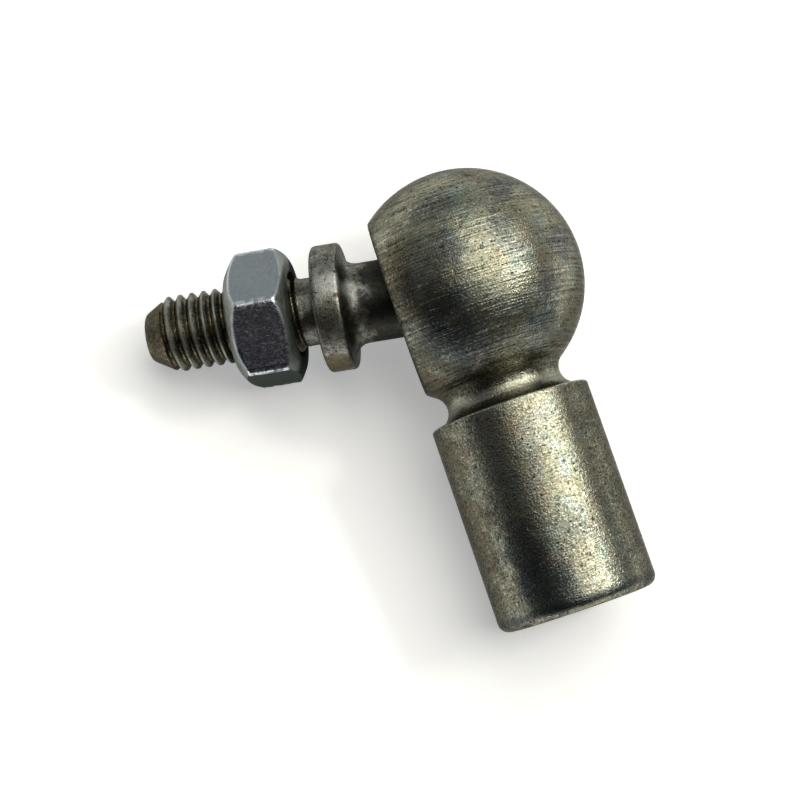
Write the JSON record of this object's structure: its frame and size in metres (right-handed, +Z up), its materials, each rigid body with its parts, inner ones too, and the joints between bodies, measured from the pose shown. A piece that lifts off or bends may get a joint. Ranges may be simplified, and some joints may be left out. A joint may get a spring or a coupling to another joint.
{
  "type": "angle ball joint",
  "caption": "Angle ball joint: a turned socket with a threaded shank holds a ball stud with collar, screw end and hexagon nut at a right angle.",
  "frame": {"origin": "on the surface that the joint lies on, under the middle of its outline seen from above", "axes": "+Z up; the shank of the socket points to -Y, dipping 6 degrees to the surface; the socket's mouth and the stud point to -X"},
  "size_m": [0.0452, 0.0476, 0.0242],
  "materials": {
    "worn_zinc_steel": "turned steel with a worn, stained yellow zinc finish",
    "spring_wire": "greased spring wire",
    "dull_stud_steel": "turned steel, dull, oily and partly stained",
    "bright_zinc": "bright bluish zinc plate"
  },
  "bodies": {
    "socket": {"ball_socket": "worn_zinc_steel"},
    "ring": {"snap_ring": "spring_wire"},
    "stud": {"ball_stud": "dull_stud_steel"},
    "nut": {"hex_nut": "bright_zinc"}
  },
  "joints": [
    {"name": "stud_swivel", "type": "hinge", "parent": "socket", "child": "ring", "pos_m": [0.01046, 0.01175, 0.0121], "axis": [-0.9833, 0.0203, -0.1811], "continuous": true},
    {"name": "stud_tilt", "type": "hinge", "parent": "ring", "child": "stud", "pos_m": [0.01046, 0.01175, 0.0121], "axis": [0.1759, -0.1532, -0.9724], "range_deg": [-28.71, 7.29]},
    {"name": "nut_travel", "type": "slide", "parent": "stud", "child": "nut", "axis": [-0.9573, 0.2035, -0.2053], "range_m": [-0.0025, 0.0075]}
  ]
}
